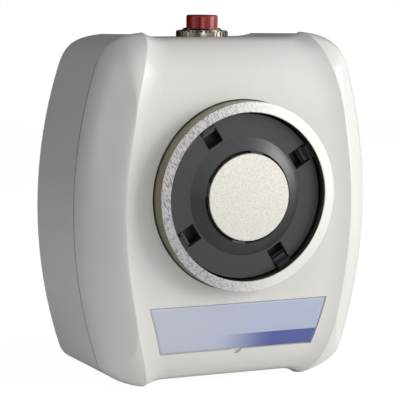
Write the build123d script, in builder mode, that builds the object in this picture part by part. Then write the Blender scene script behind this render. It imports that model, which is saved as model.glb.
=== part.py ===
from build123d import *
import os
from math import asin, cos, pi, radians, sin, sqrt

# Wall-mounted electromagnetic door holder, in millimetres.
# The origin is the centre of the face that lies on the wall.
# +Y runs into the wall, +Z is up, and the magnet faces -Y.

# Housing, as moulded: a deep rear tray and a shallow front cover
base_depth = 32.5
cover_depth = 15.15
half_width = 46.0
half_height = 49.9
foot_height = 50.5
side_radius = 138.0
bow_drop = 2.0
side_draft = 0.25
top_draft = 1.1
foot_draft = 0.6
ridge_half_width = 35.8
ridge_radius = 125.4
ridge_lap = 0.1
flare_width = 6.0
flare_reach = 1.75
front_flare = 0.5
ear_rise = 1.5
foot_ear_rise = 1.8
tray_rise = 1.0
rear_rise = 0.9
rear_foot_rise = 1.4
top_run = 28.0
bottom_run = 24.5
corner_fullness = 0.70
wall = 2.5

# Soft corners of the outline, which slope away from the ridges to the bowed sides
crest_lap = 2.0
least_drop = 1.0
top_slope = 0.06
top_drop = 0.85
top_lead = 0.70
top_trail = 0.42
foot_slope = 0.08
foot_drop = 0.57
foot_lead = 0.55
foot_trail = 0.145
rear_foot_slope = 0.02
rear_foot_drop = 0.45
rear_foot_lead = 0.70
rear_foot_trail = 0.28

# Joint between the tray and the cover
parting_gap = 0.3
tongue_height = 2.0
tongue_clearance = 0.15
tongue_wall = 1.15

# Magnet: steel pot, core, bobbin and coil
magnet_height = 5.0
magnet_proud = 5.35
pot_radius = 27.5
pot_wall = 3.1
pot_length = 26.0
pot_floor = 4.0
edge_break = 0.15
pot_clearance = 0.3
core_radius = 12.65
flange_recess = 3.0
flange_thickness = 2.0
flange_gap = 0.6
recess_radius = 17.2
recess_depth = 2.2
recess_slope = 0.35
under_slope = 0.6
tube_wall = 1.65
slip = 0.3
lip_height = 0.6
groove_width = 0.5
groove_depth = 0.8
bridge_width = 1.6
window_width = 5.2
window_lip = 0.5
window_turn = 45.0
window_start_angle = 32.0
window_count = 4
clip_width = 4.2
clip_thickness = 1.7
clip_proud = 0.8
step_thickness = 1.2
step_drop = 0.6
wrap_thickness = 0.35
lead_spacing = 8.0
lead_offset = 20.0
lead_radius = 0.8
lead_hole_radius = 1.3

# Steel strap that carries the magnet, and its fasteners
strap_thickness = 2.0
strap_end_gap = 3.5
strap_half_height = 13.0
strap_corner = 3.0
pillar_inset = 5.0
pillar_spacing_z = 16.0
pillar_radius = 4.0
tapping_radius = 1.5
tapping_length = 10.0
head_radius = 2.9
head_height = 2.0
core_bolt_radius = 3.0
core_bolt_length = 16.0
core_bolt_head = 4.0
core_bolt_flats = 10.0
spring_washer_thickness = 1.6
spring_washer_radius = 5.5

# Release button and its switch
switch_gap = 1.65
seat_drop = 0.75
nut_radius = 7.8
nut_height = 2.15
nut_flutes = 36
flute_depth = 0.35
nut_bevel = 0.35
bushing_radius = 6.0
bushing_rise = 2.85
bushing_bevel = 0.5
bushing_flange = 7.3
bushing_flange_height = 1.5
hole_clearance = 0.15
pad_thickness = 2.95
pad_radius = 9.0
lock_washer_thickness = 0.8
lock_washer_radius = 8.2
cap_radius = 4.725
cap_rise = 3.9
cap_height = 5.7
cap_edge = 0.5
cap_clearance = 0.075
travel = 2.0
stem_radius = 1.5
stem_clearance = 0.3
switch_radius = 7.0
switch_wall = 1.4
switch_depth = 15.0
blade_half_spacing = 4.4
blade_thickness = 0.6
blade_width = 2.6
blade_tail = 7.0
contact_drop = 7.0
toe_length = 1.6
bridge_radius = 4.1
bridge_thickness = 0.5
spring_radius = 2.4
spring_wire = 0.4
spring_turns = 4

# Wall side: screw holes, cable entry and circuit board
back_wall = 2.5
wall_screw_inset_x = 16.0
wall_screw_inset_z = 13.9
wall_screw_radius = 2.25
cable_x = 17.0
cable_z = -34.0
cable_radius = 3.5
grommet_wall = 2.0
grommet_flange = 1.8
grommet_flange_height = 1.5
board_x = -9.0
board_z = -37.0
board_width = 36.0
board_height = 15.0
board_thickness = 1.6
board_standoff = 6.0
post_radius = 2.6
board_screw_spacing = 31.0
block_pitch = 5.0
block_ways = 4
block_height = 8.0
block_depth = 10.0
block_bevel = 1.2
block_entry_depth = 3.5
block_screw_depth = 4.0
terminal_screw_height = 3.0
block_x = -11.0
block_z = -37.5
terminal_radius = 1.7
entry_radius = 1.3
diode_radius = 1.2
diode_length = 4.8

# Leads: runs between the coil, the switch and the terminal block
coil_lead_drop = 7.0
coil_lead_share = 0.3
coil_lead_rise = 4.0
lead_turn_height = 9.5
lead_entry_height = 5.5
switch_lead_drop = 7.0
switch_lead_side = 9.0
switch_lead_shoulder = 18.0
switch_lead_low = 25.5
lead_step = 1.0
lead_bend = 0.45

# Cover screws and label
cover_screw_spacing = 30.0
cover_screw_y = -27.0
lug_half_width = 4.0
lug_height = 8.0
lug_length = 9.0
label_top = -26.7
label_bottom = -40.5
label_top_half = 28.3
label_bottom_half = 24.3
label_recess = 0.6
label_set = 0.15
label_gap = 0.2
label_notch = 1.5

# Places that follow from the sizes above
parting_y = -base_depth
front_y = -(base_depth + cover_depth)
face_y = front_y - magnet_proud
pot_back_y = face_y + pot_length
strap_back_y = pot_back_y + strap_thickness
strap_half_width = half_width - wall - strap_end_gap
pillar_spacing_x = 2 * (strap_half_width - pillar_inset)
wall_screw_spacing_x = 2 * (half_width - wall_screw_inset_x)
wall_screw_spacing_z = 2 * (half_height - wall_screw_inset_z)
crest_y = front_y - front_flare - ridge_lap
side_centre_x = half_width - side_radius
button_y = pot_back_y + switch_gap + switch_radius
seat_height = half_height - seat_drop
pad_height = seat_height - pad_thickness
bushing_top = seat_height + bushing_rise
cap_top = bushing_top + cap_rise
radial_plane = Plane(origin=(0, face_y, magnet_height), x_dir=(1, 0, 0), z_dir=(0, 0, 1))
crest_turns = (1.0, 0.86, 0.72, 0.58, 0.44, 0.3, 0.16, 0.0)
strap_turns = (1.0, 0.88, 0.74, 0.6, 0.46, 0.3, 0.15, 0.0)
strap_tails = (8.0, 3.0)
magnet_axis = Axis((0, face_y, magnet_height), (0, 1, 0))
button_plane = Plane(origin=(0, button_y, 0), x_dir=(1, 0, 0), z_dir=(0, -1, 0))
button_axis = Axis((0, button_y, 0), (0, 0, 1))


def upright(y):
    """Plane parallel to the wall at depth y, seen from the front, with Z up the sketch."""
    return Plane(origin=(0, y, 0), x_dir=(1, 0, 0), z_dir=(0, -1, 0))


def soft_corner(half, bow, crest_x, crest, slope, drop, lead, trail):
    """Curve from inside the ridge, over it and down to the bowed side, as four control points."""
    side = half - side_centre_x
    width = side_centre_x + sqrt(side ** 2 - (crest - bow) ** 2) - crest_x
    angle = asin((crest - least_drop - drop * width - bow) / side)
    start = (crest_x - crest_lap, crest + crest_lap * slope)
    end = (side_centre_x + side * cos(angle), bow + side * sin(angle))
    span = end[0] - start[0]
    near_start = (start[0] + lead * span, start[1] - slope * lead * span)
    near_end = (end[0] - trail * span * sin(angle), end[1] + trail * span * cos(angle))
    return start, near_start, near_end, end


def skin_outline(y, half, bow, top_corner, foot_corner):
    """Barrel outline at depth y: bowed sides between the two soft corners on each side."""
    foot = [(x, -z) for x, z in foot_corner]
    with BuildSketch(upright(y)) as outline:
        with BuildLine():
            Line((0, top_corner[0][1]), top_corner[0])
            Bezier(*top_corner)
            ThreePointArc(top_corner[-1], (half, bow), foot[-1])
            Bezier(*reversed(foot))
            Line(foot[0], (0, foot[0][1]))
            mirror(about=Plane.YZ)
        make_face()
    return outline.sketch


def ridge_half_width_at(z):
    """Half width of the front strap, measured to its two ridges."""
    return ridge_half_width - ridge_radius + sqrt(ridge_radius ** 2 - z ** 2)


def strap_station(t, top, floor_front, floor_height):
    """Point and unit tangent on the side profile's corner, t from front to parting line."""
    sign = 1 if top else -1
    run = top_run if top else bottom_run
    depth = parting_y - floor_front
    y0 = floor_front
    y2 = parting_y - corner_fullness * depth
    z0 = floor_height - run
    z1 = z0 + corner_fullness * run
    a = (1 - t) ** 3
    b = 3 * (1 - t) ** 2 * t
    c = 3 * (1 - t) * t ** 2
    d = t ** 3
    y = (a + b) * y0 + c * y2 + d * parting_y
    z = a * z0 + b * z1 + (c + d) * floor_height
    dy = 2 * (1 - t) * t * (y2 - y0) + t ** 2 * (parting_y - y2)
    dz = (1 - t) ** 2 * (z1 - z0) + 2 * (1 - t) * t * (floor_height - z1)
    size = sqrt(dy ** 2 + dz ** 2)
    return y, sign * z, dy / size, sign * dz / size


def bulge_half_width(y):
    """Half width at mid height, on the arc from the parting line to the ridge."""
    spread = half_width - ridge_half_width
    depth = parting_y - crest_y
    radius = (spread ** 2 + depth ** 2) / (2 * spread)
    return half_width - radius + sqrt(radius ** 2 - min(parting_y - y, depth) ** 2)


def cover_form(inset):
    """Solid in front of the parting line, bounded by the skin moved inwards by inset."""
    sections = []
    for t in crest_turns:
        y, top, dy, dz = strap_station(t, True, crest_y, half_height + ear_rise)
        foot = -strap_station(t, False, crest_y, foot_height + foot_ear_rise)[1]
        half = bulge_half_width(y)
        corners = []
        for crest, slope, drop, lead, trail in (
            (top, top_slope, top_drop, top_lead, top_trail), (foot, foot_slope, foot_drop, foot_lead, foot_trail),
        ):
            crest_x = ridge_half_width_at(min(crest, half_height)) - inset
            corners.append(soft_corner(half - inset, 0, crest_x, crest - inset, slope, drop, lead, trail))
        sections.append(skin_outline(y + inset * (1 - t), half - inset, 0, *corners))
    with BuildPart() as pillow:
        loft(sections=sections)
    sections = []
    with BuildPart() as outside:
        for y, z, tangent_y, tangent_z, flare in strap_path(inset):
            floor = ridge_half_width_at(min(abs(z), half_height)) - flare_width - inset
            plane = Plane(origin=(0, y, z), x_dir=(1, 0, 0), z_dir=(0, tangent_y, tangent_z))
            sections.append(trough_outline(plane, floor, flare))
        loft(sections=sections)
    return pillow.part - outside.part


def strap_path(inset):
    """Stations of the front strap from the top, over the front, to the bottom."""
    floor_front = front_y + inset
    head = half_height - inset
    foot = foot_height - inset
    stations = [(parting_y + extra, head, -1.0, 0.0, ear_rise) for extra in strap_tails]
    for t in strap_turns:
        y, z, dy, dz = strap_station(t, True, floor_front, head)
        stations.append((y, z, -dy, -dz, front_flare + (ear_rise - front_flare) * t ** 2))
    high = half_height - top_run
    low = bottom_run - foot_height
    for share in (1 / 3, 2 / 3):
        stations.append((floor_front, high + (low - high) * share, 0.0, -1.0, front_flare))
    for t in reversed(strap_turns):
        y, z, dy, dz = strap_station(t, False, floor_front, foot)
        stations.append((y, z, dy, dz, front_flare + (foot_ear_rise - front_flare) * t ** 2))
    stations += [(parting_y + extra, -foot, 1.0, 0.0, foot_ear_rise) for extra in reversed(strap_tails)]
    return stations


def trough_outline(plane, floor, flare):
    """Closed outline above a flat floor whose edges flare up to the ridges."""
    radius = (flare_width ** 2 + flare ** 2) / (2 * flare)
    reach = flare_reach * flare_width
    lift = radius - sqrt(radius ** 2 - reach ** 2)
    outer = half_width + wall + reach
    far = half_height / 2
    with BuildSketch(plane) as outline:
        with BuildLine():
            Line((-floor, 0), (floor, 0))
            TangentArc((floor, 0), (floor + reach, lift), tangent=(1, 0))
            Line((floor + reach, lift), (outer, lift))
            Line((outer, lift), (outer, far))
            Line((outer, far), (-outer, far))
            Line((-outer, far), (-outer, lift))
            Line((-outer, lift), (-floor - reach, lift))
            TangentArc((-floor, 0), (-floor - reach, lift), tangent=(-1, 0))
        make_face()
    return outline.sketch


def between(front, rear, share):
    """Value part of the way from the parting line to the wall."""
    return front + (rear - front) * share


def tray_form(inset, low_y, high_y):
    """Solid behind the parting line between two depths, inside the drafted skin."""
    skins = []
    above = []
    below = []
    crest_x = ridge_half_width_at(half_height) - inset
    floor = crest_x - flare_width
    for y in (low_y, high_y):
        share = max(0.0, (y - parting_y) / base_depth)
        half = half_width - side_draft * share - inset
        bow = -bow_drop * share
        head = half_height - top_draft * share - inset
        foot = foot_height - foot_draft * share - inset
        rise = between(tray_rise, rear_rise, share)
        foot_rise = between(foot_ear_rise, rear_foot_rise, share)
        slope = between(foot_slope, rear_foot_slope, share)
        drop = between(foot_drop, rear_foot_drop, share)
        lead = between(foot_lead, rear_foot_lead, share)
        trail = between(foot_trail, rear_foot_trail, share)
        top_corner = soft_corner(half, bow, crest_x, head + rise, top_slope, top_drop, top_lead, top_trail)
        foot_corner = soft_corner(half, -bow, crest_x, foot + foot_rise, slope, drop, lead, trail)
        skins.append(skin_outline(y, half, bow, top_corner, foot_corner))
        head_plane = Plane(origin=(0, y, head), x_dir=(1, 0, 0), z_dir=(0, -1, 0))
        foot_plane = Plane(origin=(0, y, -foot), x_dir=(1, 0, 0), z_dir=(0, 1, 0))
        above.append(trough_outline(head_plane, floor, rise))
        below.append(trough_outline(foot_plane, floor, foot_rise))
    with BuildPart() as tray:
        loft(sections=skins)
    with BuildPart() as above_top:
        loft(sections=above)
    with BuildPart() as below_bottom:
        loft(sections=below)
    return tray.part - above_top.part - below_bottom.part


def turned(points, plane, axis):
    """Ring or disc revolved from a closed outline."""
    with BuildPart() as piece:
        with BuildSketch(plane):
            with BuildLine():
                Polyline(*points, close=True)
            make_face()
        revolve(axis=axis)
    return piece.part


def pan_screw(shank_length):
    """Pan-head tapping screw with a cross recess, head up, seat at the origin."""
    recess_width = head_radius / 4
    recess_span = head_radius * 1.1
    with BuildPart() as screw:
        Cylinder(head_radius, head_height, align=(Align.CENTER, Align.CENTER, Align.MIN))
        fillet(screw.edges().group_by(Axis.Z)[-1], head_height * 0.4)
        with Locations((0, 0, head_height)):
            Box(recess_span, recess_width, head_height, mode=Mode.SUBTRACT)
            Box(recess_width, recess_span, head_height, mode=Mode.SUBTRACT)
        Cylinder(tapping_radius, shank_length, align=(Align.CENTER, Align.CENTER, Align.MAX))
        chamfer(screw.edges().group_by(Axis.Z)[0], tapping_radius * 0.4)
    return screw.part


def save(part, name):
    """Give a finished piece its name and write it."""
    part.label = name
    export_step(part, f"parts/{name}.step")


def along_y(x, y, z, direction):
    """Place for a screw whose head looks along direction on Y."""
    return Plane(origin=(x, y, z), x_dir=(1, 0, 0), z_dir=(0, direction, 0)).location


os.makedirs("parts", exist_ok=True)

# Shells of the housing, kept as plain solids for the cuts below
tray_skin = tray_form(0.0, parting_y, 0.0)
tray_space = tray_form(wall, parting_y - tongue_height, -back_wall)
tongue_skin = tray_form(wall - tongue_wall, parting_y - tongue_height, parting_y + wall)
tongue_room = tray_form(wall - tongue_wall - tongue_clearance, parting_y - tongue_height, parting_y)
cover_skin = cover_form(0.0)
cover_space = cover_form(wall)
label_floor = cover_form(label_recess)
label_face = cover_form(label_set)

pillar_places = GridLocations(pillar_spacing_x, pillar_spacing_z, 2, 2).locations
pillar_points = [(place.position.X, magnet_height + place.position.Y) for place in pillar_places]
wall_screw_points = [
    (place.position.X, place.position.Y)
    for place in GridLocations(wall_screw_spacing_x, wall_screw_spacing_z, 2, 2).locations
]
board_back_y = -back_wall - board_standoff
board_front_y = board_back_y - board_thickness
board_screw_points = [(board_x + side * board_screw_spacing / 2, board_z) for side in (-1, 1)]
cover_screw_xs = [side * cover_screw_spacing / 2 for side in (-1, 1)]
floor_share = (cover_screw_y - parting_y) / base_depth
cover_screw_seat = foot_height - foot_draft * floor_share - head_height

# Rear housing: drafted tray with pillars, board posts, a button pad and a tongue for the cover
with BuildPart() as rear_housing:
    add(tray_skin)
    with BuildSketch(upright(parting_y)):
        Rectangle(4 * half_width, 4 * half_width)
    extrude(amount=-parting_gap / 2, mode=Mode.SUBTRACT)
    add(tray_space, mode=Mode.SUBTRACT)
    add(tongue_skin - tray_space)
    with BuildSketch(upright(-back_wall)):
        with Locations(*pillar_points):
            Circle(pillar_radius)
    extrude(amount=-back_wall - strap_back_y)
    with BuildSketch(upright(-back_wall)):
        with Locations(*board_screw_points):
            Circle(post_radius)
    extrude(amount=board_standoff)
    with BuildSketch(Plane.XY.offset(pad_height)):
        with Locations((0, button_y)):
            Circle(pad_radius)
    extrude(amount=half_height - pad_height - wall / 2)
    with BuildSketch(Plane.XY.offset(seat_height)):
        with Locations((0, button_y)):
            Circle(nut_radius + pot_clearance)
    extrude(amount=ear_rise, mode=Mode.SUBTRACT)
    with BuildSketch(Plane.XY.offset(pad_height)):
        with Locations((0, button_y)):
            Circle(bushing_radius + hole_clearance)
    extrude(amount=half_height - pad_height + ear_rise, mode=Mode.SUBTRACT)
    with BuildSketch(upright(strap_back_y)):
        with Locations(*pillar_points):
            Circle(tapping_radius)
    extrude(amount=strap_thickness - tapping_length, mode=Mode.SUBTRACT)
    with BuildSketch(upright(board_back_y)):
        with Locations(*board_screw_points):
            Circle(tapping_radius)
    extrude(amount=-board_standoff, mode=Mode.SUBTRACT)
    with BuildSketch(upright(0)):
        with Locations(*wall_screw_points):
            Circle(wall_screw_radius)
        with Locations((cable_x, cable_z)):
            Circle(cable_radius + grommet_wall)
    extrude(amount=back_wall, mode=Mode.SUBTRACT)
    with BuildSketch(Plane.XY.offset(-foot_height)):
        with Locations(*[(x, cover_screw_y) for x in cover_screw_xs]):
            Circle(tapping_radius + hole_clearance)
    extrude(amount=2 * wall, mode=Mode.SUBTRACT)
    with BuildSketch(Plane.XY.offset(-cover_screw_seat)):
        with Locations(*[(x, cover_screw_y) for x in cover_screw_xs]):
            Circle(head_radius + hole_clearance)
    extrude(amount=-2 * wall, mode=Mode.SUBTRACT)
save(rear_housing.part, "rear_housing")

# Front cover: saddle-shaped shell with the magnet opening, label recess and two screw lugs
with BuildPart() as label_prism:
    with BuildSketch(upright(parting_y)):
        Polygon((-label_bottom_half, label_bottom), (label_bottom_half, label_bottom),
                (label_top_half, label_top), (-label_top_half, label_top), align=None)
        offset(amount=label_gap)
        with Locations((0, label_bottom)):
            Circle(label_notch)
    extrude(amount=2 * cover_depth)
lug_z = -(foot_height - wall - tongue_clearance - foot_draft * floor_share)
lug_back_y = cover_screw_y + lug_half_width
with BuildPart() as front_cover:
    add(cover_skin)
    with BuildSketch(upright(parting_y)):
        Rectangle(4 * half_width, 4 * half_width)
    extrude(amount=parting_gap / 2, mode=Mode.SUBTRACT)
    add(cover_space, mode=Mode.SUBTRACT)
    add(tongue_room, mode=Mode.SUBTRACT)
    with BuildSketch(upright(parting_y)):
        with Locations((0, magnet_height)):
            Circle(pot_radius + pot_clearance)
    extrude(amount=2 * cover_depth, mode=Mode.SUBTRACT)
    add(label_prism.part - label_floor, mode=Mode.SUBTRACT)
    with BuildSketch(Plane.XY.offset(lug_z)):
        with Locations(*[(x, lug_back_y) for x in cover_screw_xs]):
            Rectangle(2 * lug_half_width, lug_back_y - parting_y + lug_length, align=(Align.CENTER, Align.MAX))
    extrude(amount=lug_height)
    with BuildSketch(Plane.XY.offset(lug_z)):
        with Locations(*[(x, cover_screw_y) for x in cover_screw_xs]):
            Circle(tapping_radius)
    extrude(amount=lug_height, mode=Mode.SUBTRACT)
save(front_cover.part, "front_cover")

# Label: thin printed plate that lies in the recess and follows the cover
with BuildPart() as label_plate:
    with BuildSketch(upright(parting_y)):
        Polygon((-label_bottom_half, label_bottom), (label_bottom_half, label_bottom),
                (label_top_half, label_top), (-label_top_half, label_top), align=None)
    extrude(amount=2 * cover_depth)
    add(label_face, mode=Mode.INTERSECT)
    add(label_floor, mode=Mode.SUBTRACT)
save(label_plate.part, "label_plate")

# Mounting strap: flat steel plate across the pillars
with BuildPart() as mounting_strap:
    with BuildSketch(upright(strap_back_y)):
        with Locations((0, magnet_height)):
            RectangleRounded(2 * strap_half_width, 2 * strap_half_height, strap_corner)
            Circle(core_bolt_radius + hole_clearance, mode=Mode.SUBTRACT)
        with Locations(*pillar_points):
            Circle(tapping_radius + hole_clearance, mode=Mode.SUBTRACT)
    extrude(amount=strap_thickness)
save(mounting_strap.part, "mounting_strap")

strap_screw = pan_screw(tapping_length)
strap_screws = Compound(children=[
    strap_screw.moved(along_y(x, pot_back_y, z, -1)) for x, z in pillar_points
])
save(strap_screws, "strap_screws")

board_screw = pan_screw(board_standoff)
board_screws = Compound(children=[
    board_screw.moved(along_y(x, board_front_y, z, -1)) for x, z in board_screw_points
])
save(board_screws, "board_screws")

cover_screw = pan_screw(lug_height)
cover_screws = Compound(children=[
    cover_screw.moved(Plane(origin=(x, cover_screw_y, -cover_screw_seat), x_dir=(1, 0, 0), z_dir=(0, 0, -1)).location)
    for x in cover_screw_xs
])
save(cover_screws, "cover_screws")

# Magnet pot: turned steel cup with a ground rim
pot_inner = pot_radius - pot_wall
inner_depth = pot_length - pot_floor
lead_points = [(side * lead_spacing / 2, magnet_height - lead_offset) for side in (-1, 1)]
with BuildPart() as magnet_pot:
    add(turned([
        (core_bolt_radius + hole_clearance, inner_depth), (pot_inner, inner_depth),
        (pot_inner, edge_break), (pot_inner + edge_break, 0),
        (pot_radius - edge_break, 0), (pot_radius, edge_break),
        (pot_radius, pot_length), (core_bolt_radius + hole_clearance, pot_length),
    ], radial_plane, magnet_axis))
    with BuildSketch(upright(pot_back_y)):
        with Locations(*lead_points):
            Circle(lead_hole_radius)
    extrude(amount=pot_floor, mode=Mode.SUBTRACT)
save(magnet_pot.part, "magnet_pot")

# Pole core: solid steel pin, tapped at the back
thread_depth = core_bolt_length - strap_thickness - pot_floor
with BuildPart() as pole_core:
    add(turned([
        (0, 0), (core_radius - edge_break, 0), (core_radius, edge_break), (core_radius, inner_depth),
        (core_bolt_radius, inner_depth), (core_bolt_radius, inner_depth - thread_depth),
        (0, inner_depth - thread_depth),
    ], radial_plane, magnet_axis))
save(pole_core.part, "pole_core")

washer_back_y = strap_back_y + spring_washer_thickness
with BuildPart() as core_washer:
    with BuildSketch(upright(strap_back_y)):
        with Locations((0, magnet_height)):
            Circle(spring_washer_radius)
            Circle(core_bolt_radius + hole_clearance, mode=Mode.SUBTRACT)
    extrude(amount=-spring_washer_thickness)
save(core_washer.part, "core_washer")

with BuildPart() as core_bolt:
    with BuildSketch(upright(washer_back_y)):
        with Locations((0, magnet_height)):
            RegularPolygon(core_bolt_flats / 2, 6, major_radius=False)
    extrude(amount=-core_bolt_head)
    with BuildSketch(upright(washer_back_y)):
        with Locations((0, magnet_height)):
            Circle(core_bolt_radius)
    extrude(amount=core_bolt_length)
save(core_bolt.part, "core_bolt")

# Bobbin: black moulding with a dished front flange, four windows and four spring clips
tube_inner = core_radius + slip
tube_outer = tube_inner + tube_wall
flange_outer = pot_inner - flange_gap
dish_depth = flange_recess + recess_depth
window_inner = recess_radius + window_lip
window_outer = flange_outer - wrap_thickness
under_flange = flange_recess + flange_thickness
under_dish = dish_depth + flange_thickness
rear_front = inner_depth - flange_thickness
with BuildPart() as coil_bobbin:
    add(turned([
        (tube_inner, dish_depth - lip_height), (tube_inner + lip_height, dish_depth - lip_height),
        (tube_inner + lip_height, dish_depth + groove_depth),
        (tube_inner + lip_height + groove_width, dish_depth + groove_depth),
        (tube_inner + lip_height + groove_width, dish_depth),
        (recess_radius - recess_depth * recess_slope, dish_depth), (recess_radius, flange_recess),
        (flange_outer, flange_recess), (flange_outer, under_flange),
        (recess_radius + flange_thickness, under_flange), (recess_radius + flange_thickness * under_slope, under_dish),
        (tube_outer, under_dish), (tube_outer, rear_front), (flange_outer, rear_front),
        (flange_outer, inner_depth), (tube_inner, inner_depth),
    ], radial_plane, magnet_axis))
    with BuildSketch(upright(face_y + under_dish)):
        with Locations((0, magnet_height)):
            with PolarLocations(0, window_count, start_angle=window_start_angle):
                with Locations(((window_inner + window_outer) / 2, 0)):
                    Rectangle(window_outer - window_inner, window_width)
    extrude(amount=under_dish, mode=Mode.SUBTRACT)
    for reach, thickness, low, high, width in (
        (pot_inner - hole_clearance, clip_thickness, under_flange, flange_recess - clip_proud, clip_width),
        (pot_inner - hole_clearance - clip_thickness, step_thickness, under_flange, flange_recess + step_drop, clip_width),
        (flange_outer, clip_thickness + step_thickness, under_flange + flange_thickness, under_flange,
         window_width + flange_thickness),
    ):
        with BuildSketch(upright(face_y + low)):
            with Locations((0, magnet_height)):
                with PolarLocations(0, window_count, start_angle=window_start_angle):
                    with Locations((reach - thickness / 2, 0)):
                        Rectangle(thickness, width)
        extrude(amount=low - high)
    with BuildSketch(upright(face_y + dish_depth + groove_depth)):
        with Locations((0, magnet_height)):
            with PolarLocations(0, window_count, start_angle=window_start_angle - window_turn):
                with Locations((tube_inner + lip_height + groove_width / 2, 0)):
                    Rectangle(2 * groove_width, bridge_width)
    extrude(amount=groove_depth)
    with BuildSketch(upright(face_y + inner_depth)):
        with Locations(*lead_points):
            Circle(lead_hole_radius)
    extrude(amount=flange_thickness, mode=Mode.SUBTRACT)
save(coil_bobbin.part, "coil_bobbin")

# Coil: copper winding inside a layer of black tape
wrap_front = under_dish + hole_clearance
coil_front = wrap_front + wrap_thickness
coil_outer = flange_outer - clip_thickness
coil_back = rear_front - hole_clearance
coil_winding = turned([
    (tube_outer, coil_front), (coil_outer, coil_front), (coil_outer, coil_back), (tube_outer, coil_back),
], radial_plane, magnet_axis)
save(coil_winding, "coil_winding")
coil_wrap = turned([
    (tube_outer, wrap_front), (coil_outer + wrap_thickness, wrap_front), (coil_outer + wrap_thickness, coil_back),
    (coil_outer, coil_back), (coil_outer, coil_front), (tube_outer, coil_front),
], radial_plane, magnet_axis)
save(coil_wrap, "coil_wrap")

# Release button: red cap on a stem that carries the contact bridge
cap_base = cap_top - cap_height
stem_top = cap_base + cap_height / 2
collar_low = pad_height - lock_washer_thickness
flange_low = collar_low - bushing_flange_height
contact_height = flange_low - contact_drop
with BuildPart() as button_cap:
    with BuildSketch(Plane.XY.offset(cap_base)):
        with Locations((0, button_y)):
            Circle(cap_radius)
    extrude(amount=cap_height)
    fillet(button_cap.edges().group_by(Axis.Z)[-1], cap_edge)
    with BuildSketch(Plane.XY.offset(cap_base)):
        with Locations((0, button_y)):
            Circle(stem_radius)
    extrude(amount=stem_top - cap_base, mode=Mode.SUBTRACT)
save(button_cap.part, "button_cap")

bridge_top = contact_height - hole_clearance
bridge_low = bridge_top - bridge_thickness
with BuildPart() as button_stem:
    with BuildSketch(Plane.XY.offset(bridge_low)):
        with Locations((0, button_y)):
            Circle(stem_radius)
    extrude(amount=stem_top - bridge_low)
save(button_stem.part, "button_stem")

with BuildPart() as contact_bridge:
    with BuildSketch(Plane.XY.offset(bridge_low)):
        with Locations((0, button_y)):
            Circle(bridge_radius)
            Circle(stem_radius, mode=Mode.SUBTRACT)
    extrude(amount=bridge_thickness)
save(contact_bridge.part, "contact_bridge")

# Bushing: threaded collar with a stepped bore for the cap and its stem
bore_low = cap_base - travel - stem_clearance
button_bushing = turned([
    (stem_radius + stem_clearance, flange_low), (bushing_flange, flange_low), (bushing_flange, collar_low),
    (bushing_radius, collar_low), (bushing_radius, bushing_top - bushing_bevel),
    (bushing_radius - bushing_bevel, bushing_top), (cap_radius + cap_clearance, bushing_top),
    (cap_radius + cap_clearance, bore_low), (stem_radius + stem_clearance, bore_low),
], button_plane, button_axis)
save(button_bushing, "button_bushing")

lock_washer = turned([
    (bushing_radius + hole_clearance, collar_low), (lock_washer_radius, collar_low),
    (lock_washer_radius, pad_height), (bushing_radius + hole_clearance, pad_height),
], button_plane, button_axis)
save(lock_washer, "lock_washer")

# Knurled ring nut: straight flutes and a bevelled top
with BuildPart() as button_nut:
    add(turned([
        (bushing_radius, seat_height), (nut_radius, seat_height),
        (nut_radius, seat_height + nut_height - nut_bevel), (nut_radius - nut_bevel, seat_height + nut_height),
        (bushing_radius, seat_height + nut_height),
    ], button_plane, button_axis))
    with BuildSketch(Plane.XY.offset(seat_height)):
        with Locations((0, button_y)):
            with PolarLocations(nut_radius, nut_flutes):
                Rectangle(2 * flute_depth, pi * nut_radius / nut_flutes)
    extrude(amount=nut_height, mode=Mode.SUBTRACT)
save(button_nut.part, "button_nut")

# Switch body: moulded cup under the bushing, open at the top, with slots for the two blades
switch_low = flange_low - switch_depth
switch_floor = switch_low + switch_wall
blade_points = [(side * blade_half_spacing, button_y) for side in (-1, 1)]
with BuildPart() as switch_body:
    add(turned([
        (0, switch_low), (switch_radius, switch_low), (switch_radius, flange_low),
        (switch_radius - switch_wall, flange_low), (switch_radius - switch_wall, switch_floor), (0, switch_floor),
    ], button_plane, button_axis))
    with BuildSketch(Plane.XY.offset(switch_low)):
        with Locations(*blade_points):
            Rectangle(blade_thickness, blade_width)
    extrude(amount=switch_wall, mode=Mode.SUBTRACT)
save(switch_body.part, "switch_body")

with BuildPart() as switch_blades:
    with BuildSketch(Plane.XY.offset(switch_low - blade_tail)):
        with Locations(*blade_points):
            Rectangle(blade_thickness, blade_width)
    extrude(amount=contact_height + blade_thickness - switch_low + blade_tail)
    with BuildSketch(Plane.XY.offset(contact_height)):
        for side in (-1, 1):
            with Locations((side * (blade_half_spacing + blade_thickness / 2 - toe_length / 2), button_y)):
                Rectangle(toe_length, blade_width)
    extrude(amount=blade_thickness)
save(switch_blades.part, "switch_blades")

spring_height = bridge_low - switch_floor
with BuildPart() as return_spring:
    with BuildLine():
        coil_path = Helix(
            pitch=(spring_height - spring_wire) / spring_turns, height=spring_height - spring_wire,
            radius=spring_radius, center=(0, button_y, switch_floor + spring_wire / 2),
        )
    with BuildSketch(Plane(origin=coil_path @ 0, z_dir=coil_path % 0)):
        Circle(spring_wire / 2)
    sweep(is_frenet=True)
save(return_spring.part, "return_spring")

# Cable grommet: rubber sleeve with a flange inside the tray
with BuildPart() as cable_grommet:
    with BuildSketch(upright(0)):
        with Locations((cable_x, cable_z)):
            Circle(cable_radius + grommet_wall)
            Circle(cable_radius, mode=Mode.SUBTRACT)
    extrude(amount=back_wall)
    with BuildSketch(upright(-back_wall)):
        with Locations((cable_x, cable_z)):
            Circle(cable_radius + grommet_wall + grommet_flange)
            Circle(cable_radius, mode=Mode.SUBTRACT)
    extrude(amount=grommet_flange_height)
save(cable_grommet.part, "cable_grommet")

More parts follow.
